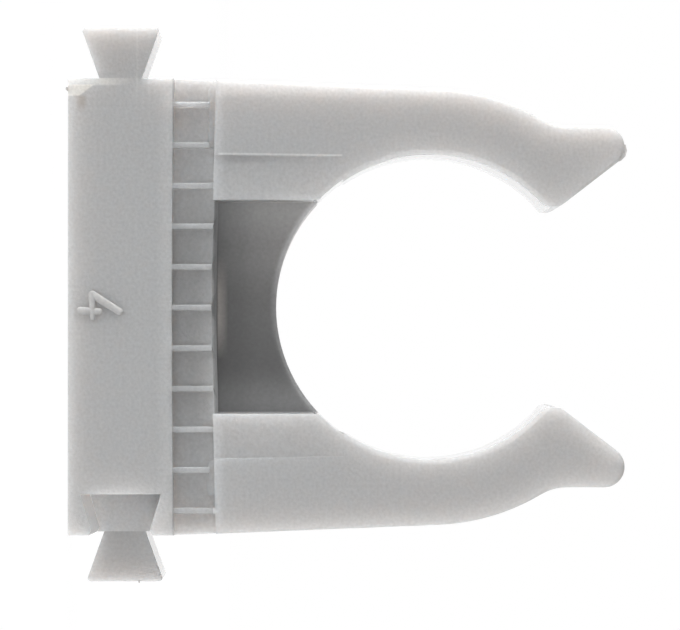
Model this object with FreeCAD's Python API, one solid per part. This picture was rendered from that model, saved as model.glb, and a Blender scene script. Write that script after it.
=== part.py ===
import FreeCAD, Part
import math
import os

from FreeCAD import Vector

# Open pipe clip, one plastic moulding, all sizes in millimetres.
# Z rises from the base to the mouth, Y runs along the pipe, X runs across the row of clips.
# The origin is the middle of the face that the clip stands on, and -Y is its front.

# Pipe seat and arms
pipe_diameter = 32.0
seat_height = 22.0
arm_wall = 6.9
arm_side_draft = 2.3
rear_bore_draft = 1.6
depth = 20.0

# Mouth, lips and noses
mouth_gap = 20.96
lip_radius = 1.95
nose_radius = 2.15
nose_inset = 3.95
nose_rise = 5.35
shoulder_radius = 5.2

# Base block, bowed along its upper edge
block_height = 10.9
block_bow = 0.27

# Ribbed belt, and the arms' roots that rise a little from the pocket to the outer side
belt_height = 4.3
root_rise = 0.34
belt_recess = 1.2
rib_pitch = 4.267
rib_offset = 0.08
rib_thickness = 0.6
rib_setback = 0.12

# Saddle pads beside the pocket, set back by a step that runs out towards the bore
saddle_width = 31.88
saddle_top_width = 31.4
saddle_top = 28.9
saddle_step = 0.26
saddle_top_step = 0.03
saddle_relief = 0.2

# Pocket with drafted walls and a dished floor that rises inwards, screw walls and fixing slot
pocket_width = 22.5
pocket_draft = 0.115
pocket_floor = 15.34
floor_rise = 0.33
dish_width = 19.8
dish_front = 0.31
dish_end = 0.18
screw_wall = 1.2
screw_channel = 8.0
slot_length = 10.0
slot_width = 4.6

# Dovetails
dovetail_centre = 5.52
tongue_neck = 4.45
tongue_height = 5.35
tongue_angle = 19.8
tongue_corner = 0.35
groove_mouth = 6.2
groove_depth = 4.31
groove_angle = 16.6
groove_flank_draft = 2.1
groove_lip_height = 0.5
groove_lip_flare = 0.25

# Low root pads that back the arms on the ribbed belt, as spans from the clip's middle
root_pad_setback = 0.8
root_pad_width = 0.75
root_pad_corner = 0.5
root_pad_round = 0.2
long_pad = (-23.1, -16.7)
short_pad = (16.1, 19.9)

# Sizes that follow from those above
half_depth = depth / 2
bore_radius = pipe_diameter / 2
bore_height = seat_height + bore_radius
outer_radius = bore_radius + arm_wall
block_corner = block_height + block_bow
belt_top = block_height + belt_height
root_outer = belt_top + root_rise
belt_face = half_depth - belt_recess
pocket_half = pocket_width / 2
screw_wall_near = screw_channel / 2
screw_wall_far = screw_wall_near + screw_wall
saddle_radius = bore_radius + saddle_relief
rear_opening = half_depth * math.tan(math.radians(rear_bore_draft))
tongue_slope = math.tan(math.radians(tongue_angle))
groove_slope = math.tan(math.radians(groove_angle))
overlap = 0.5
touch = 0.01


def side_half_width(height):
    """Half the width across the arms' drafted outer sides at a height."""
    lean = math.radians(arm_side_draft)
    return (outer_radius + (bore_height - height) * math.sin(lean)) / math.cos(lean)


base_half = side_half_width(block_corner)
root_half = side_half_width(root_outer)


def root_level(x):
    """Height of the arms' root edge at a distance from the clip's middle."""
    return belt_top + root_rise * (abs(x) - pocket_half) / (root_half - pocket_half)


def at(x, z):
    """A point of a section drawn in the plane across the pipe."""
    return Vector(x, 0, z)


def line(start, end):
    return Part.LineSegment(start, end).toShape()


def arc(start, centre, end):
    """The shorter arc from start to end about centre."""
    radius = (start - centre).Length
    middle = (start - centre) + (end - centre)
    return Part.Arc(start, centre + middle.normalize() * radius, end).toShape()


def prism(edges, y_start, y_end):
    """A closed outline carried along the pipe's direction."""
    face = Part.Face(Part.Wire(edges))
    face.translate(Vector(0, y_start, 0))
    return face.extrude(Vector(0, y_end - y_start, 0))


def box(x_range, y_range, z_range):
    size = [high - low for low, high in (x_range, y_range, z_range)]
    return Part.makeBox(*size, Vector(x_range[0], y_range[0], z_range[0]))


def turned(shape):
    """The same shape after half a turn about the upright axis."""
    copy = shape.copy()
    copy.rotate(Vector(0, 0, 0), Vector(0, 0, 1), 180)
    return copy


def mirrored(shape):
    return shape.mirror(Vector(0, 0, 0), Vector(1, 0, 0))


def sagged_arc(half, end_height, sag):
    """An arc across the middle whose ends stand above its lowest point by the sag."""
    radius = (half ** 2 + sag ** 2) / (2 * sag)
    return arc(at(-half, end_height), at(0, end_height - sag + radius), at(half, end_height))


def arm():
    """One springy arm with its shoulder, nose and lip, on the +X side."""
    centre = at(0, bore_height)
    lean = math.radians(arm_side_draft)
    root_out = at(root_half, root_outer)
    side_end = centre + Vector(math.cos(lean), 0, math.sin(lean)) * outer_radius

    # The shoulder is a hollow round between the outer arc and the nose's flat side
    nose_half = outer_radius - nose_inset
    shoulder_x = nose_half + shoulder_radius
    reach = outer_radius + shoulder_radius
    shoulder = at(shoulder_x, bore_height + math.sqrt(reach ** 2 - shoulder_x ** 2))
    shoulder_start = centre + (shoulder - centre) * (outer_radius / reach)
    shoulder_end = at(nose_half, shoulder.z)

    # The lip is a round that touches the bore, and its highest point sets the mouth's gap
    lip_x = mouth_gap / 2 + lip_radius
    reach = bore_radius + lip_radius
    lip = at(lip_x, bore_height + math.sqrt(reach ** 2 - lip_x ** 2))
    lip_start = centre + (lip - centre) * (bore_radius / reach)

    # The lead-in slope touches the lip's round and the nose's round
    nose = at(nose_half - nose_radius, lip.z + nose_rise)
    span = nose - lip
    slope = math.atan2(span.x, span.z) - math.asin((nose_radius - lip_radius) / span.Length)
    inward = Vector(-math.cos(slope), 0, math.sin(slope))
    lip_end = lip + inward * lip_radius
    nose_end = nose + inward * nose_radius
    nose_start = at(nose_half, nose.z)
    nose_top = nose + Vector(0, 0, nose_radius)

    # The bore runs on past the pocket's wall, which is cut later
    inner = pocket_half - overlap
    drop = math.sqrt(bore_radius ** 2 - inner ** 2)
    bore_end = at(inner, bore_height - drop)
    bore_side = centre + Vector(bore_radius, 0, 0)
    floor_in = at(inner, pocket_floor)
    floor_out = at(pocket_half, pocket_floor)
    root_in = at(pocket_half, belt_top)

    outline = [
        line(root_out, side_end),
        arc(side_end, centre, shoulder_start),
        arc(shoulder_start, shoulder, shoulder_end),
        line(shoulder_end, nose_start),
        arc(nose_start, nose, nose_top),
        arc(nose_top, nose, nose_end),
        line(nose_end, lip_end),
        arc(lip_end, lip, lip_start),
        arc(lip_start, centre, bore_side),
        arc(bore_side, centre, bore_end),
        line(bore_end, floor_in),
        line(floor_in, floor_out),
        line(floor_out, root_in),
        line(root_in, root_out),
    ]
    return prism(outline, -half_depth, half_depth)


def base_block():
    """The block under the belt, a little lower in its middle than at its ends."""
    foot_left, foot_right = at(-base_half, 0), at(base_half, 0)
    top_left, top_right = at(-base_half, block_corner), at(base_half, block_corner)
    outline = [
        sagged_arc(base_half, block_corner, block_bow),
        line(top_right, foot_right),
        line(foot_right, foot_left),
        line(foot_left, top_left),
    ]
    return prism(outline, -half_depth, half_depth)


def belt_core():
    """The core between the base block and the arms, set back on both faces."""
    top = root_outer + overlap
    half_outline = [(base_half, block_height), (base_half, block_corner), (side_half_width(top), top)]
    corners = [at(x, z) for x, z in half_outline] + [at(-x, z) for x, z in reversed(half_outline)]
    edges = [line(a, b) for a, b in zip(corners, corners[1:] + corners[:1])]
    return prism(edges, -belt_face, belt_face)


def pad_foot(span):
    """Height of a root pad's lower edge."""
    return root_level(sum(span) / 2) - root_pad_width


def rib_top(x):
    """A rib ends on the root pad that it meets, and otherwise runs into the arm or the pocket's cut."""
    for span in (long_pad, short_pad):
        if span[0] < x < span[1]:
            return pad_foot(span) + root_pad_round
    return root_outer + overlap


def belt_ribs():
    """Thin upright ribs across the front of the belt."""
    side_count = int((root_half - rib_thickness) / rib_pitch)
    y_range = (-half_depth + rib_setback, -belt_face + overlap)
    ribs = []
    for index in range(-side_count, side_count + 1):
        x = index * rib_pitch + rib_offset
        x_range = (x - rib_thickness / 2, x + rib_thickness / 2)
        ribs.append(box(x_range, y_range, (block_height - overlap, rib_top(x))))
    return ribs


def root_pad(span):
    """A low pad on the belt, against the root of an arm, with rounded corners and edges."""
    face_y = half_depth - root_pad_setback
    pad = box(span, (-face_y, -belt_face + overlap), (pad_foot(span), root_outer + overlap))
    corners = [edge for edge in pad.Edges
               if edge.BoundBox.YLength > overlap and edge.BoundBox.ZMax < belt_top]
    pad = pad.makeFillet(root_pad_corner, corners)
    around = [edge for edge in pad.Edges if edge.BoundBox.YMax < -face_y + touch]
    return pad.makeFillet(root_pad_round, around)


def pocket_outline(y, depth_share):
    """The pocket's outline at one depth, from its front section at 0 to its inner one at 1."""
    half = pocket_half - pocket_draft * depth_share
    floor = pocket_floor + floor_rise * depth_share
    sag = dish_front + (dish_end - dish_front) * depth_share
    dish_half = dish_width / 2
    top_left, top_right = at(-half, bore_height), at(half, bore_height)
    edges = [
        line(top_left, at(-half, floor)),
        line(at(-half, floor), at(-dish_half, floor)),
        sagged_arc(dish_half, floor, sag),
        line(at(dish_half, floor), at(half, floor)),
        line(at(half, floor), top_right),
        line(top_right, top_left),
    ]
    outline = Part.Wire(edges)
    outline.translate(Vector(0, y, 0))
    return outline


def pocket_cut():
    """The pocket between the arm roots, through the clip, narrowest between the screw walls."""
    front, inner = pocket_outline(-belt_face, 0), pocket_outline(-screw_wall_far, 1)
    entry = Part.Face(front).extrude(Vector(0, belt_face - half_depth - overlap, 0))
    drafted = Part.makeLoft([front, inner], True, True)
    middle = Part.Face(inner).extrude(Vector(0, 2 * screw_wall_far, 0))
    return [entry, drafted, turned(entry), turned(drafted), middle]


def screw_walls():
    """Two thin walls across the pocket, either side of the screw's channel."""
    half = pocket_half + overlap
    y_range = (-screw_wall_far, -screw_wall_near)
    wall = box((-half, half), y_range, (pocket_floor - overlap, bore_height - pocket_half))
    return [wall, turned(wall)]


def bore_tool(radius):
    """The bore as a cutter: straight in the front half, opening towards the rear face."""
    along = Vector(0, 1, 0)
    start = Vector(0, -half_depth - overlap, bore_height)
    straight = Part.makeCylinder(radius, half_depth + overlap, start, along)
    wider = radius + rear_opening
    cone = Part.makeCone(radius, wider, half_depth, Vector(0, 0, bore_height), along)
    return straight, cone


def saddle_cut():
    """The lowest part of the seat is a little larger than the pipe."""
    straight, cone = bore_tool(saddle_radius)
    below = box((-bore_height, bore_height), (-depth, depth), (0, saddle_top))
    return [straight.common(below), cone.common(below)]


def saddle_face_cut():
    """A thin wedge off the saddle pads' front, so that the arms stand a hair prouder."""
    foot_half, top_half = saddle_width / 2, saddle_top_width / 2
    outline = [
        (-foot_half, belt_top), (foot_half, belt_top),
        (top_half, saddle_top), (-top_half, saddle_top),
    ]
    setbacks = [saddle_step, saddle_step, saddle_top_step, saddle_top_step]
    front = [Vector(x, -half_depth - overlap, z) for x, z in outline]
    end = [Vector(x, -half_depth + step, z) for (x, z), step in zip(outline, setbacks)]
    return tapered_prism(front, end)


def tongue_outline():
    """Dovetail tongue's section on the -X side, sunk a little into the block."""
    sunk_half = tongue_neck / 2 - overlap * tongue_slope
    tip_half = tongue_neck / 2 + tongue_height * tongue_slope
    sunk_x, tip_x = -base_half + overlap, -base_half - tongue_height
    corners = [at(sunk_x, -sunk_half), at(sunk_x, sunk_half), at(tip_x, tip_half), at(tip_x, -tip_half)]
    for corner in corners:
        corner.z += dovetail_centre
    return [line(a, b) for a, b in zip(corners, corners[1:] + corners[:1])]


def tongue():
    """Front-half tongue on the -X side with rounded tip corners."""
    block = prism(tongue_outline(), -half_depth, 0)
    tip_x = -base_half - tongue_height
    corners = [edge for edge in block.Edges
               if edge.BoundBox.YLength > half_depth - touch and edge.BoundBox.XMax < tip_x + touch]
    return block.makeFillet(tongue_corner, corners)


def groove_section(inset, y):
    """Corners of the dovetail groove at one depth, on the +X side, with a flared mouth."""
    floor_x = base_half - groove_depth
    flare_x = base_half - groove_lip_height
    mouth_half = groove_mouth / 2 - inset
    floor_half = mouth_half + (groove_depth - groove_lip_height) * groove_slope
    out_x = base_half + overlap
    out_half = mouth_half + groove_lip_flare * (groove_lip_height + overlap) / groove_lip_height
    half_outline = [(floor_x, floor_half), (flare_x, mouth_half), (out_x, out_half)]
    points = half_outline + [(x, -half) for x, half in reversed(half_outline)]
    return [Vector(x, y, dovetail_centre + half) for x, half in points]


def flat_face(corners):
    return Part.Face(Part.makePolygon(corners + corners[:1]))


def tapered_prism(front, end):
    """A solid with flat sides between two like outlines at two depths."""
    around = list(zip(front, front[1:] + front[:1], end[1:] + end[:1], end))
    faces = [flat_face(front), flat_face(end)] + [flat_face(list(side)) for side in around]
    return Part.makeSolid(Part.makeShell(faces))


def groove():
    """Front-half groove on the +X side, a little tighter at its blind end."""
    taper = math.tan(math.radians(groove_flank_draft))
    front = groove_section(-overlap * taper, -half_depth - overlap)
    end = groove_section(half_depth * taper, 0)
    return tapered_prism(front, end)


def fixing_slot():
    """Round-ended slot through the base for the fixing screw."""
    radius = slot_width / 2
    straight_half = slot_length / 2 - radius
    height = pocket_floor + floor_rise + overlap
    middle = box((-straight_half, straight_half), (-radius, radius), (-overlap, height))
    up = Vector(0, 0, 1)
    ends = [Part.makeCylinder(radius, height + overlap, Vector(x, 0, -overlap), up)
            for x in (-straight_half, straight_half)]
    return middle.fuse(ends)


def front_and_rear(shapes):
    """The given front features and the same ones after half a turn."""
    return list(shapes) + [turned(shape) for shape in shapes]


def pipe_clip():
    """The whole moulding."""
    right = arm()
    pads = [root_pad(long_pad), root_pad(short_pad)]
    body = base_block().fuse([belt_core(), right, mirrored(right)])
    body = body.fuse(front_and_rear(belt_ribs() + pads + [tongue()]))
    body = body.cut(pocket_cut()).fuse(screw_walls())
    rear_cone = bore_tool(bore_radius)[1]
    cuts = saddle_cut() + [rear_cone, fixing_slot()]
    cuts += front_and_rear([saddle_face_cut(), groove()])
    body = body.cut(cuts)
    return body.removeSplitter()


os.makedirs("parts", exist_ok=True)
clip = pipe_clip()
clip.Solids[0].exportStep("parts/pipe_clip.step")
print("solids", len(clip.Solids), "valid", clip.isValid(), "volume", round(clip.Volume, 1))
print("box", clip.BoundBox)
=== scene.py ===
import math

import bmesh
import bpy
import numpy as np
from mathutils import Matrix, Vector


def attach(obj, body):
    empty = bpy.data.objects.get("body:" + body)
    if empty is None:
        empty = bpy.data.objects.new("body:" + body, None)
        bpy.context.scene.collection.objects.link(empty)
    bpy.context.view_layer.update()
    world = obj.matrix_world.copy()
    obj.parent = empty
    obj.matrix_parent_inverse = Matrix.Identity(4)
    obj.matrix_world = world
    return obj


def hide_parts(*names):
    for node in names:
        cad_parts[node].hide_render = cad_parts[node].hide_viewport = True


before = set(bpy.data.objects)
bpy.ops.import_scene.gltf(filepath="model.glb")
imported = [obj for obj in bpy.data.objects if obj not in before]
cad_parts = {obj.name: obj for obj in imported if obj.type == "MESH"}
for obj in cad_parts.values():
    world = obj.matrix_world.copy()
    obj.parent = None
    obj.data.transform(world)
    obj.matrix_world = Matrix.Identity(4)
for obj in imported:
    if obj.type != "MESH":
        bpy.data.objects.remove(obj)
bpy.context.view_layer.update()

MM = 0.001

# Camera of the photograph: where it stands and the point that it looks at, in millimetres
CAMERA_AT = (4.3, -454.0, 27.7)
CAMERA_TO = (0.84, -10.0, 28.57)
IMAGE_WIDTH_MM = 71.4
SENSOR_MM = 36.0
CLIP_NEAR_AND_FAR = (0.01, 20.0)

# The clip's places that its marks and its painted light and shade keep to, in millimetres, and how
# far the painted highlight and shadow along the saddle's step and the gate's painted patch lean
FRONT_Y = -10.0
BLOCK_TOP = 10.9
BELT_TOP = 15.2
BELT_HALF = 23.5
POCKET_HALF = 11.25
WALL_FACE = 5.2
GROOVE_X = 21.8
BORE_RADIUS = 16.0
BORE_AXIS_Z = 38.0
SADDLE_LEAN = 0.014
GATE_LEAN = 0.75

# Moulded edges, in millimetres and degrees, and how squarely a face looks along the pipe to be flat
EDGE_ROUND = 0.11
ARM_ROUND = 0.70
ROUND_SAMPLES = 8
EDGE_ANGLE = 28.0
MERGE_DISTANCE = 0.002
FLAT_ANGLE = 0.05
FRONTAL = 0.9995

# Grey polypropylene: its colour, and how far red, green and blue light goes into it
PLASTIC = (0.502, 0.506, 0.510, 1.0)
PLASTIC_IOR = 1.49
SCATTER = 0.92
SCATTER_MM = (8.4, 7.3, 6.6)
THIN_SCATTER = 0.25
FACE_ROUGHNESS = 0.5
SIDE_ROUGHNESS = 0.28
END_ROUGHNESS = 0.03
END_FACING = (0.6, 0.9)
SPECKLE = 0.14
SPECKLE_SCALE = 3000.0
SPECKLE_DETAIL = 1.0
GRAIN_MM = 0.06
GRAIN_SCALE = 2800.0
GRAIN_DETAIL = 2.0

# The same plastic on small raised marks
MARKS = (0.56, 0.555, 0.55, 1.0)
MARKS_SCATTER = 0.35
MARKS_SCATTER_MM = (0.40, 0.34, 0.30)


def strip(place, centre, half, soft):
    """The two ramps of a strip: 1 within half of its centre, and 0 past the soft width beside it."""
    return [(place, centre - half - soft, centre - half), (place, centre + half + soft, centre + half)]


# A mask is a list of ramps. Each is a place's name, where it is 0 and where it is 1, in millimetres.
WHITE = (1.0, 1.0, 1.0)
FRONT_FACE = [("y", -9.2, -9.4)]
# Painted light and shade on the front face, each a mask and the colour that it multiplies: highlights,
# shadows and levels that stand for how light falls, some of them drawn along the mould joints.
FRONT_MARKS_AND_PAINTED_LIGHT = {
    # The mould joint on the tongue is real; its lighter line is a painted highlight.
    "mould joint on the tongue, drawn as a painted highlight": (
        strip("z", 7.26, 0.05, 0.10) + [("x", -21.6, -24.0)], (1.08, 1.08, 1.07)),
    # The mould joint at the block's corner is real; its lighter line is a painted highlight.
    "mould joint at the block's corner, drawn as a painted highlight": (
        strip("x", -23.37, 0.06, 0.08) + [("z", 6.3, 4.0)], (1.25, 1.24, 1.22)),
    # Painted highlight: a bright line where the saddle's step edge catches the light.
    "painted highlight along the saddle's step": (
        strip("saddle", -16.32, 0.06, 0.08) + strip("z", 22.3, 6.4, 0.2), (1.35, 1.35, 1.33)),
    # Painted shadow that the saddle's step casts beside it.
    "painted shadow beside the saddle's step": (
        strip("saddle", -15.85, 0.20, 0.40) + [("z", 25.0, 17.5), ("z", 15.7, 16.8)],
        (0.88, 0.88, 0.89)),
    # Painted light: a strip along the block's corner made lighter.
    "painted light strip along the block's corner": (
        strip("x", -23.75, 0.25, 0.08) + [("z", 7.0, 3.5)], (1.35, 1.33, 1.28)),
    # Painted shade: the rib tips' colour is darkened.
    "painted shade on the rib tips": (
        [("z", BLOCK_TOP + 0.05, BLOCK_TOP + 0.10), ("z", BELT_TOP + 0.05, BELT_TOP)],
        (0.73, 0.725, 0.725)),
    # Painted shade: the tongue's front is darkened.
    "tongue": ([("x", -23.9, -24.2)], (0.92, 0.92, 0.92)),
    # Painted light: the block's front just below the belt is made lighter.
    "painted light on the block below the belt": (
        [("z", BLOCK_TOP - 1.7, BLOCK_TOP - 0.5), ("z", BLOCK_TOP + 0.05, BLOCK_TOP),
         ("across", BELT_HALF - 0.1, BELT_HALF - 1.1)],
        (1.12, 1.11, 1.10)),
    # Painted light along the arm's outer rim.
    "painted light on the arm's rim": ([("x", -21.9, -22.6), ("z", 15.4, 16.0)], (1.08, 1.08, 1.08)),
    # The gate's patch is a real mark; its lighter tone is painted light.
    "gate's patch with painted light": (
        [("gate", -21.2, -21.4), ("x", -22.1, -22.25), ("x", -23.4, -23.3)], (1.40, 1.36, 1.28)),
    # Painted shadow below the gate's patch.
    "painted shadow below the gate's patch": (
        strip("z", 1.45, 0.20, 0.40) + [("x", -22.35, -22.0), ("x", -20.3, -21.4)],
        (0.84, 0.80, 0.77)),
}

# Painted light where the arms rise from the belt: their face's colour is raised, up to 1.22.
# Levels go by the height.
ARM_FEET = [("across", POCKET_HALF - 0.05, POCKET_HALF + 0.05), ("across", BELT_HALF, BELT_HALF - 1.0),
            ("z", BELT_TOP, BELT_TOP + 0.05)] + FRONT_FACE
ARM_FOOT_PAINTED_LIGHT = [(15.3, 1.22), (15.8, 1.12), (16.6, 1.0)]

# Painted shade on the thin walls in the pocket: their colour is darkened, down to about 0.2, to
# stand for light going through them, and painted light brightens it again at their rim by the bore
# and, warm, at their foot over the slot. Levels go by x, z and the bore's radius.
THIN_WALLS = [("across", POCKET_HALF - 0.13, POCKET_HALF - 0.19), ("along", 8.78, 8.74),
              ("along", WALL_FACE - 0.3, WALL_FACE - 0.1), ("z", BELT_TOP, BELT_TOP + 0.05)]
THIN_ACROSS = [(-11.25, 0.70), (-6.0, 0.45), (0.0, 0.28), (6.0, 0.205), (11.25, 0.42)]
THIN_RISE = [(15.45, 0.75), (15.75, 0.88), (17.5, 0.90), (20.0, 1.04), (24.0, 1.10)]
THIN_RIM_PAINTED_LIGHT = [(BORE_RADIUS, 3.0), (BORE_RADIUS + 0.3, 1.55), (BORE_RADIUS + 1.0, 1.0)]
THIN_FOOT = [("across", 5.6, 1.6), ("z", 16.7, 15.8), ("z", 15.5, 15.65)]
THIN_FOOT_PAINTED_GLOW = (0.90, 0.83, 0.78)
# Painted shade on the pocket's floor beside the thin walls.
POCKET_FLOOR = [("along", WALL_FACE + 0.08, WALL_FACE + 0.14)]
POCKET_FLOOR_PAINTED_SHADE = (0.85, 0.85, 0.85)

# Painted light in the grooves: the thin flanks' colour is raised, up to 1.6, to stand for light
# glowing through them. Levels go by the height.
GROOVES = strip("across", GROOVE_X, 2.15, 0.08) + [
    ("along", 9.95, 9.85), ("z", 0.9, 1.0), ("z", BLOCK_TOP - 0.7, BLOCK_TOP - 0.8)]
GROOVE_PAINTED_LIGHT = [(1.0, 1.60), (2.9, 1.50), (4.2, 1.38), (8.0, 1.20)]

# Painted shade and light in the belt's openings: darker in the middle, where the pocket lies
# above them, and lighter nearer their ends.
BELT_OPENINGS = [("along", 8.95, 8.85), ("across", BELT_HALF, BELT_HALF - 0.1),
                 ("z", BLOCK_TOP - 0.05, BLOCK_TOP + 0.05), ("z", BELT_TOP + 0.05, BELT_TOP - 0.05)]
OPENINGS_ACROSS = [
    (-23.4, 1.02), (-18.0, 1.22), (-4.0, 0.87), (8.0, 0.89), (17.0, 1.08), (23.4, 1.06)]
OPENINGS_RISE = [(10.9, 1.08), (13.3, 0.94), (15.2, 0.97)]

# The bore is smooth, and the arms' outer sides and tips have a wider rounding than other edges
BORE = [("radius", BORE_RADIUS + 0.60, BORE_RADIUS + 0.45), ("z", 21.0, 22.0)]
ARMS = [("radius", BORE_RADIUS + 3.0, BORE_RADIUS + 4.5), ("z", 14.6, 15.0)]
ARM_SIDES = [("across", 17.2, 18.4)]
ARM_TIPS = [("z", 42.0, 44.0)]

# The moulded numeral: each stroke's two ends as places (x, z), its half widths and its height
STROKES = {
    "four_slope": ((-1.28, 2.56), (0.50, 5.42), (0.42, 0.38), 0.20),
    "four_stem": ((-1.24, 2.53), (1.20, 2.60), (0.42, 0.26), 0.20),
    "four_bar": ((0.40, 1.30), (0.49, 3.30), (0.40, 0.35), 0.18),
}
# Each end of a stroke has so many points, and its rings have these slopes in degrees
STROKE_TURNS = 9
STROKE_SLOPES = (0.0, 0.0, 25.0, 50.0, 70.0, 88.0)
STROKE_SINK = 0.1

# Burrs: each fin's outline as places (x, z), and where its front and back lie along the pipe
FINS = {
    "gate_nub": (
        [(-23.15, 0.2), (-23.10, -0.20), (-22.90, -0.28), (-22.70, -0.10), (-22.65, 0.2)],
        -9.9, -9.3),
    "nose_flash": (
        [(-16.60, 58.25), (-16.00, 58.10), (-15.50, 57.80), (-15.25, 57.85), (-15.35, 58.10),
         (-15.80, 58.55), (-16.40, 58.72), (-17.05, 58.58), (-17.05, 58.30)],
        -9.99, -9.9),
    "tongue_burr": ([(29.2, 6.90), (29.52, 6.98), (29.58, 7.06), (29.2, 7.14)], 0.05, 0.4),
}

# Light: the lamps with their places, sizes and powers in metres and watts, the world's even level,
# and the floor's colour, own glow, and white level and white share to the camera
LAMPS = {
    "key": ((-0.75, -0.25, -0.02), 0.3, 3.7),
    "graze": ((-0.75, -0.06, 0.25), 0.4, 6.4),
    "fill": ((0.75, -0.10, 0.10), 0.4, 1.5),
    "back": ((0.55, 0.50, 0.25), 0.4, 4.0),
    "face": ((0.10, -0.70, -0.10), 0.4, 3.05),
}
LAMP_AIM = (0.0, 0.0, 0.03)
EVEN_LIGHT = 0.02
FLOOR_COLOUR = (0.9, 0.9, 0.9, 1.0)
FLOOR_GLOW = 0.50
FLOOR_WHITE_LEVEL = 1.04
FLOOR_WHITE_SHARE = 0.94
FLOOR_HALF = 0.7
FLOOR_LEVEL = -0.3 * MM


def node_input(node, name, value):
    node.inputs[name].default_value = value


def link(tree, output, socket):
    tree.links.new(output, socket)


def new_material(name):
    """A material with an empty tree and its output node."""
    material = bpy.data.materials.new(name)
    material.use_nodes = True
    tree = material.node_tree
    tree.nodes.clear()
    return material, tree, tree.nodes.new("ShaderNodeOutputMaterial")


def formula(tree, operation, first, second=None):
    """One sum of a node tree. The second term is a socket, a number or nothing."""
    node = tree.nodes.new("ShaderNodeMath")
    node.operation = operation
    link(tree, first, node.inputs[0])
    if isinstance(second, (int, float)):
        node.inputs[1].default_value = second
    elif second is not None:
        link(tree, second, node.inputs[1])
    return node.outputs[0]


def product(tree, factors):
    total = factors[0]
    for factor in factors[1:]:
        total = formula(tree, "MULTIPLY", total, factor)
    return total


def spread(tree, value, start, end, low=0.0, high=1.0):
    """Goes evenly from low, where the value is at its start, to high at its end, and stays level
    beyond them."""
    step = tree.nodes.new("ShaderNodeMapRange")
    for name, number in (("From Min", start), ("From Max", end), ("To Min", low), ("To Max", high)):
        node_input(step, name, number)
    link(tree, value, step.inputs["Value"])
    return step.outputs["Result"]


def levels(tree, value, stops):
    """A level that goes through the stops, each a place in millimetres and its level."""
    first, last = stops[0][0], stops[-1][0]
    top = max(level for place, level in stops)
    tone = tree.nodes.new("ShaderNodeValToRGB")
    tone.color_ramp.interpolation = "EASE"
    elements = tone.color_ramp.elements
    while len(elements) < len(stops):
        elements.new(0.5)
    for element, (place, level) in zip(elements, stops):
        element.position = (place - first) / (last - first)
        element.color = (level / top, level / top, level / top, 1.0)
    link(tree, spread(tree, value, first * MM, last * MM), tone.inputs["Fac"])
    return formula(tree, "MULTIPLY", tone.outputs["Color"], top)


def tinted(tree, factor, first, second):
    """A mix of two colours. Each is a socket or three numbers."""
    mix = tree.nodes.new("ShaderNodeMix")
    mix.data_type = "RGBA"
    link(tree, factor, mix.inputs["Factor"])
    for name, colour in (("A", first), ("B", second)):
        if isinstance(colour, tuple):
            node_input(mix, name, colour + (1.0,))
        else:
            link(tree, colour, mix.inputs[name])
    return mix.outputs["Result"]


def times(tree, first, second):
    """The product of two colours."""
    mix = tree.nodes.new("ShaderNodeMix")
    mix.data_type = "RGBA"
    mix.blend_type = "MULTIPLY"
    node_input(mix, "Factor", 1.0)
    link(tree, first, mix.inputs["A"])
    link(tree, second, mix.inputs["B"])
    return mix.outputs["Result"]


def clip_places(tree, place):
    """The places that masks go by: x, y and z, the distances across and along from the middle, the
    radius sqrt(x x + (z - axis)(z - axis)) from the bore's axis, and the slanted places of the
    painted highlight and shadow along the saddle's step, x - lean z, and of the gate's patch, x + lean
    z."""
    parts = tree.nodes.new("ShaderNodeSeparateXYZ")
    link(tree, place, parts.inputs[0])
    x, y, z = (parts.outputs[name] for name in "XYZ")
    up = formula(tree, "SUBTRACT", z, BORE_AXIS_Z * MM)
    squares = formula(tree, "ADD", product(tree, [x, x]), product(tree, [up, up]))
    return {
        "x": x, "y": y, "z": z,
        "across": formula(tree, "ABSOLUTE", x),
        "along": formula(tree, "ABSOLUTE", y),
        "radius": formula(tree, "SQRT", squares),
        "saddle": formula(tree, "SUBTRACT", x, formula(tree, "MULTIPLY", z, SADDLE_LEAN)),
        "gate": formula(tree, "ADD", x, formula(tree, "MULTIPLY", z, GATE_LEAN)),
    }


def mask(tree, places, ramps):
    """The product of the ramps."""
    return product(tree, [
        spread(tree, places[name], zero * MM, one * MM) for name, zero, one in ramps])


def front_tones(tree, places):
    """The product of the front's painted light and shade, some of it drawn along mould joints, each
    white outside its mask and its colour in it, and of the painted light at the arms' feet."""
    tone = None
    for ramps, colour in FRONT_MARKS_AND_PAINTED_LIGHT.values():
        layer = tinted(tree, mask(tree, places, ramps + FRONT_FACE), WHITE, colour)
        tone = layer if tone is None else times(tree, tone, layer)
    rise = levels(tree, places["z"], ARM_FOOT_PAINTED_LIGHT)
    return times(tree, tone, tinted(tree, mask(tree, places, ARM_FEET), WHITE, rise))


def clip_tones(tree, places, thin):
    """The level of the plastic's colour over the clip, which is painted light and shade: the front's
    marks, the grooves and the belt's openings, and by the mask the thin walls."""
    x, z, radius = places["x"], places["z"], places["radius"]
    tone = tinted(
        tree, mask(tree, places, GROOVES), front_tones(tree, places), levels(tree, z, GROOVE_PAINTED_LIGHT))
    opening = product(tree, [levels(tree, x, OPENINGS_ACROSS), levels(tree, z, OPENINGS_RISE)])
    tone = tinted(tree, mask(tree, places, BELT_OPENINGS), tone, opening)
    wall = product(tree, [
        levels(tree, x, THIN_ACROSS), levels(tree, z, THIN_RISE), levels(tree, radius, THIN_RIM_PAINTED_LIGHT)])
    wall = tinted(tree, mask(tree, places, THIN_FOOT), wall, THIN_FOOT_PAINTED_GLOW)
    wall = tinted(tree, mask(tree, places, POCKET_FLOOR), wall, POCKET_FLOOR_PAINTED_SHADE)
    return tinted(tree, thin, tone, wall)


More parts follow.
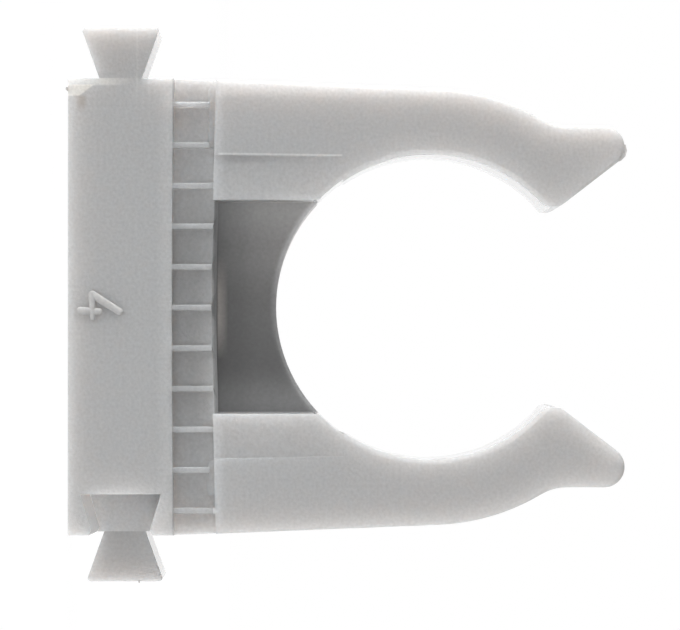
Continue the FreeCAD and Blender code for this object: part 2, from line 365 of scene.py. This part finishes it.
def new_group(name, inputs, outputs):
    """An empty node group with its sockets, each a pair of a name and a kind."""
    group = bpy.data.node_groups.new(name, "ShaderNodeTree")
    for way, sockets in (("INPUT", inputs), ("OUTPUT", outputs)):
        for label, kind in sockets:
            group.interface.new_socket(name=label, in_out=way, socket_type="NodeSocket" + kind)
    return group, group.nodes.new("NodeGroupInput").outputs, group.nodes.new("NodeGroupOutput").inputs


def speckle_group():
    """The plastic's fine speckle: the colour times 1 + share (2 noise - 1)."""
    group, given, result = new_group(
        "fine_speckle",
        [("Place", "Vector"), ("Scale", "Float"), ("Colour", "Color"), ("Share", "Float")],
        [("Colour", "Color")])
    mottle = group.nodes.new("ShaderNodeTexNoise")
    node_input(mottle, "Detail", SPECKLE_DETAIL)
    link(group, given["Place"], mottle.inputs["Vector"])
    link(group, given["Scale"], mottle.inputs["Scale"])
    swing = formula(group, "SUBTRACT", formula(group, "MULTIPLY", mottle.outputs["Fac"], 2.0), 1.0)
    level = formula(group, "ADD", product(group, [swing, given["Share"]]), 1.0)
    link(group, times(group, given["Colour"], level), result["Colour"])
    return group


def grain_group():
    """The height of the fine spark-eroded skin, from 0 to 1."""
    group, given, result = new_group(
        "eroded_grain", [("Place", "Vector"), ("Scale", "Float")], [("Height", "Float")])
    grain = group.nodes.new("ShaderNodeTexNoise")
    node_input(grain, "Detail", GRAIN_DETAIL)
    link(group, given["Place"], grain.inputs["Vector"])
    link(group, given["Scale"], grain.inputs["Scale"])
    link(group, grain.outputs["Fac"], result["Height"])
    return group


def placed(tree, group, place, values):
    """The group's result in a material, at the place and with the material's own values."""
    node = tree.nodes.new("ShaderNodeGroup")
    node.node_tree = group
    link(tree, place, node.inputs["Place"])
    for name, value in values.items():
        node_input(node, name, value)
    return node.outputs[0]


def eroded_skin(tree, grain, place):
    """The bump of the spark-eroded skin, from the group of its grain."""
    bump = tree.nodes.new("ShaderNodeBump")
    node_input(bump, "Distance", GRAIN_MM * MM)
    link(tree, placed(tree, grain, place, {"Scale": GRAIN_SCALE}), bump.inputs["Height"])
    return bump


def plastic_shader(tree, output, scatter_mm):
    """The plastic's surface. Red, green and blue light goes into it by so many millimetres."""
    shader = tree.nodes.new("ShaderNodeBsdfPrincipled")
    node_input(shader, "IOR", PLASTIC_IOR)
    node_input(shader, "Subsurface Radius", scatter_mm)
    node_input(shader, "Subsurface Scale", MM)
    link(tree, shader.outputs["BSDF"], output.inputs["Surface"])
    return shader


def moulded_plastic(speckle, grain):
    """Slightly translucent grey plastic. Its front and back are matt, its sides smoother, and the
    bore and the faces that look towards the mouth are smooth."""
    material, tree, output = new_material("grey_polypropylene")
    shader = plastic_shader(tree, output, SCATTER_MM)
    coordinates = tree.nodes.new("ShaderNodeTexCoord")
    place = coordinates.outputs["Object"]
    places = clip_places(tree, place)
    thin = mask(tree, places, THIN_WALLS)
    colour = placed(
        tree, speckle, place, {"Colour": PLASTIC, "Share": SPECKLE, "Scale": SPECKLE_SCALE})
    # The colour carries the painted light and shade of clip_tones.
    link(tree, times(tree, colour, clip_tones(tree, places, thin)), shader.inputs["Base Color"])
    link(tree, spread(tree, thin, 0.0, 1.0, SCATTER, THIN_SCATTER), shader.inputs["Subsurface Weight"])

    facing = tree.nodes.new("ShaderNodeSeparateXYZ")
    link(tree, coordinates.outputs["Normal"], facing.inputs[0])
    smooth = formula(
        tree, "MAXIMUM", mask(tree, places, BORE), spread(tree, facing.outputs["Z"], *END_FACING))
    frontal = formula(tree, "ABSOLUTE", facing.outputs["Y"])
    rough = spread(tree, frontal, 0.0, 1.0, SIDE_ROUGHNESS, FACE_ROUGHNESS)
    drop = formula(tree, "MULTIPLY", smooth, SIDE_ROUGHNESS - END_ROUGHNESS)
    link(tree, formula(tree, "SUBTRACT", rough, drop), shader.inputs["Roughness"])

    outer = formula(
        tree, "MAXIMUM", mask(tree, places, ARM_SIDES), mask(tree, places, ARM_TIPS))
    outer = product(tree, [mask(tree, places, ARMS), outer])
    rounded = tree.nodes.new("ShaderNodeBevel")
    rounded.samples = ROUND_SAMPLES
    link(tree, spread(tree, outer, 0.0, 1.0, EDGE_ROUND * MM, ARM_ROUND * MM), rounded.inputs["Radius"])
    skin = eroded_skin(tree, grain, place)
    link(tree, spread(tree, formula(tree, "MAXIMUM", thin, smooth), 0.0, 1.0, 1.0, 0.0),
         skin.inputs["Strength"])
    link(tree, rounded.outputs["Normal"], skin.inputs["Normal"])
    link(tree, skin.outputs["Normal"], shader.inputs["Normal"])
    return material


def mark_plastic(speckle, grain):
    """The same plastic on small raised marks, which are too small to let light through."""
    material, tree, output = new_material("grey_polypropylene_marks")
    shader = plastic_shader(tree, output, MARKS_SCATTER_MM)
    node_input(shader, "Roughness", FACE_ROUGHNESS)
    node_input(shader, "Subsurface Weight", MARKS_SCATTER)
    place = tree.nodes.new("ShaderNodeTexCoord").outputs["Object"]
    colour = placed(tree, speckle, place, {"Colour": MARKS, "Share": SPECKLE, "Scale": SPECKLE_SCALE})
    link(tree, colour, shader.inputs["Base Color"])
    link(tree, eroded_skin(tree, grain, place).outputs["Normal"], shader.inputs["Normal"])
    return material


def linked(name, data):
    """A new object at the origin, linked to the scene."""
    thing = bpy.data.objects.new(name, data)
    bpy.context.scene.collection.objects.link(thing)
    return thing


def merged_copy(source, name):
    """The CAD node's mesh as one joined skin. Flat areas become single faces, and the ones that
    look along the pipe get corner normals of exactly 0, 1, 0 or 0, -1, 0."""
    skin = bmesh.new()
    skin.from_mesh(source.data)
    bmesh.ops.remove_doubles(skin, verts=skin.verts, dist=MERGE_DISTANCE * MM)
    bmesh.ops.dissolve_limit(
        skin, angle_limit=math.radians(FLAT_ANGLE), verts=skin.verts, edges=skin.edges)
    mesh = bpy.data.meshes.new(name)
    skin.to_mesh(mesh)
    skin.free()
    count = len(mesh.polygons)
    mesh.polygons.foreach_set("use_smooth", [True] * count)
    mesh.set_sharp_from_angle(angle=math.radians(EDGE_ANGLE))
    facing, corners = np.empty(count * 3, np.float32), np.empty(count, np.int32)
    mesh.polygons.foreach_get("normal", facing)
    mesh.polygons.foreach_get("loop_total", corners)
    along = facing.reshape(count, 3)[:, 1]
    normals = np.zeros((count, 3))
    normals[:, 1] = np.where(np.abs(along) > FRONTAL, np.sign(along), 0.0)
    mesh.normals_split_custom_set(np.repeat(normals, corners, axis=0))
    return linked(name, mesh)


def mound(name, rings, material, smooth):
    """A closed mound through its rings, an array of rings by points by x, y and z in millimetres.
    Point i of a ring is joined to point i + 1 and to the same two points of the next ring, and the
    first and last ring are filled. Seen from beyond the last ring, the points go anticlockwise."""
    count, points = rings.shape[:2]
    index = np.arange(count * points).reshape(count, points)
    ahead = np.roll(index, -1, axis=1)
    walls = np.stack([index[:-1], ahead[:-1], ahead[1:], index[1:]], axis=-1).reshape(-1, 4)
    faces = [index[0, ::-1].tolist()] + walls.tolist() + [index[-1].tolist()]
    mesh = bpy.data.meshes.new(name)
    mesh.from_pydata((rings.reshape(-1, 3) * MM).tolist(), [], faces)
    mesh.polygons.foreach_set("use_smooth", [smooth] * len(mesh.polygons))
    mesh.materials.append(material)
    piece = linked(name, mesh)
    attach(piece, "root")


def raised_stroke(name, first, last, half_widths, height, material):
    """A rounded stroke on the front face. The ring at slope t has, at the turn s round an end with
    its half width w, the point end + w cos(t) (cos(s), sin(s)) at the height h sin(t) above the
    face. The first ring is the one at slope 0, sunk into the clip."""
    heading = math.atan2(last[1] - first[1], last[0] - first[0])
    half_turn = np.linspace(-math.pi / 2, math.pi / 2, STROKE_TURNS) + heading
    turns = np.concatenate([half_turn, half_turn + math.pi])
    ends = np.repeat([last, first], STROKE_TURNS, axis=0)
    widths = np.repeat(half_widths[::-1], STROKE_TURNS)
    slopes = np.radians(STROKE_SLOPES)[:, None]
    lifts = height * np.sin(slopes)
    lifts[0] = -STROKE_SINK
    reach = widths * np.cos(slopes)
    depths = np.broadcast_to(FRONT_Y - lifts, reach.shape)
    rings = np.stack([
        ends[:, 0] + reach * np.cos(turns), depths, ends[:, 1] + reach * np.sin(turns)], axis=-1)
    mound(name, rings, material, smooth=True)


def fin(name, outline, front, back, material):
    """A thin flat fin: its outline of places (x, z), carried straight along y from back to front."""
    rings = np.stack([np.insert(np.array(outline), 1, y, axis=1) for y in (back, front)])
    mound(name, rings, material, smooth=False)


def seen_ray(tree):
    """1 for a ray from the camera, or one that a reflection or clear plastic sends on, else 0."""
    path = tree.nodes.new("ShaderNodeLightPath").outputs
    found = formula(tree, "MAXIMUM", path["Is Camera Ray"], path["Is Glossy Ray"])
    return formula(tree, "MAXIMUM", found, path["Is Transmission Ray"])


def plain_shader(tree, kind, values):
    """A shader node's output, with its values."""
    node = tree.nodes.new(kind)
    for name, value in values.items():
        node_input(node, name, value)
    return node.outputs[0]


def mixed(tree, factor, first, second):
    """A mix of two shaders, by a socket or a number."""
    mix = tree.nodes.new("ShaderNodeMixShader")
    if isinstance(factor, float):
        node_input(mix, "Fac", factor)
    else:
        link(tree, factor, mix.inputs["Fac"])
    link(tree, first, mix.inputs[1])
    link(tree, second, mix.inputs[2])
    return mix.outputs[0]


def pale_floor():
    """A white floor just under the clip. It lights the clip from below, and to the camera it is
    nearly all white with a faint shadow."""
    material, tree, output = new_material("pale_floor")
    diffuse = plain_shader(tree, "ShaderNodeBsdfDiffuse", {"Color": FLOOR_COLOUR})
    glow = plain_shader(tree, "ShaderNodeEmission", {"Strength": FLOOR_GLOW})
    white = plain_shader(tree, "ShaderNodeEmission", {"Strength": FLOOR_WHITE_LEVEL})
    lit = tree.nodes.new("ShaderNodeAddShader")
    link(tree, diffuse, lit.inputs[0])
    link(tree, glow, lit.inputs[1])
    seen = mixed(tree, FLOOR_WHITE_SHARE, diffuse, white)
    link(tree, mixed(tree, seen_ray(tree), lit.outputs[0], seen), output.inputs["Surface"])
    mesh = bpy.data.meshes.new("floor")
    corners = [(x * FLOOR_HALF, y * FLOOR_HALF, FLOOR_LEVEL) for x, y in
               ((-1, -1), (1, -1), (1, 1), (-1, 1))]
    mesh.from_pydata(corners, [], [(0, 1, 2, 3)])
    mesh.materials.append(material)
    linked("floor", mesh)


def white_world():
    """White to the camera and in reflections, and a weak even light for all other rays."""
    world = bpy.data.worlds.new("studio")
    bpy.context.scene.world = world
    world.use_nodes = True
    tree = world.node_tree
    tree.nodes.clear()
    output = tree.nodes.new("ShaderNodeOutputWorld")
    paper = WHITE + (1.0,)
    soft = plain_shader(tree, "ShaderNodeBackground", {"Color": paper, "Strength": EVEN_LIGHT})
    white = plain_shader(tree, "ShaderNodeBackground", {"Color": paper})
    link(tree, mixed(tree, seen_ray(tree), soft, white), output.inputs["Surface"])


def soft_lamp(name, at, size, power):
    """A square area lamp, turned to the clip."""
    data = bpy.data.lights.new(name, "AREA")
    data.shape = "SQUARE"
    data.size = size
    data.energy = power
    direction = Vector(LAMP_AIM) - Vector(at)
    turn = direction.to_track_quat("-Z", "Y")
    linked(name, data).matrix_world = Matrix.LocRotScale(Vector(at), turn, None)


def photo_camera():
    """The camera with the image's right along +Z and its top towards -X."""
    data = bpy.data.cameras.new("photo_camera")
    data.sensor_width = SENSOR_MM
    data.sensor_fit = "HORIZONTAL"
    data.lens = SENSOR_MM * abs(FRONT_Y - CAMERA_AT[1]) / IMAGE_WIDTH_MM
    data.clip_start, data.clip_end = CLIP_NEAR_AND_FAR
    at, to = Vector(CAMERA_AT) * MM, Vector(CAMERA_TO) * MM
    forward = (to - at).normalized()
    across = Vector((0, 0, 1))
    right = (across - forward * across.dot(forward)).normalized()
    turn = Matrix((right, right.cross(forward), -forward)).transposed()
    camera = linked("photo_camera", data)
    camera.matrix_world = Matrix.Translation(at) @ turn.to_4x4()
    bpy.context.scene.camera = camera


speckle, grain = speckle_group(), grain_group()
clip = merged_copy(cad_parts["pipe_clip"], "clip_moulding")
clip.data.materials.append(moulded_plastic(speckle, grain))
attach(clip, "root")
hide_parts("pipe_clip")

marks = mark_plastic(speckle, grain)
for name, sizes in STROKES.items():
    raised_stroke(name, *sizes, marks)
for name, sizes in FINS.items():
    fin(name, *sizes, marks)

pale_floor()
white_world()
for name, (at, size, power) in LAMPS.items():
    soft_lamp(name, at, size, power)
photo_camera()
bpy.context.scene.view_settings.view_transform = "Standard"
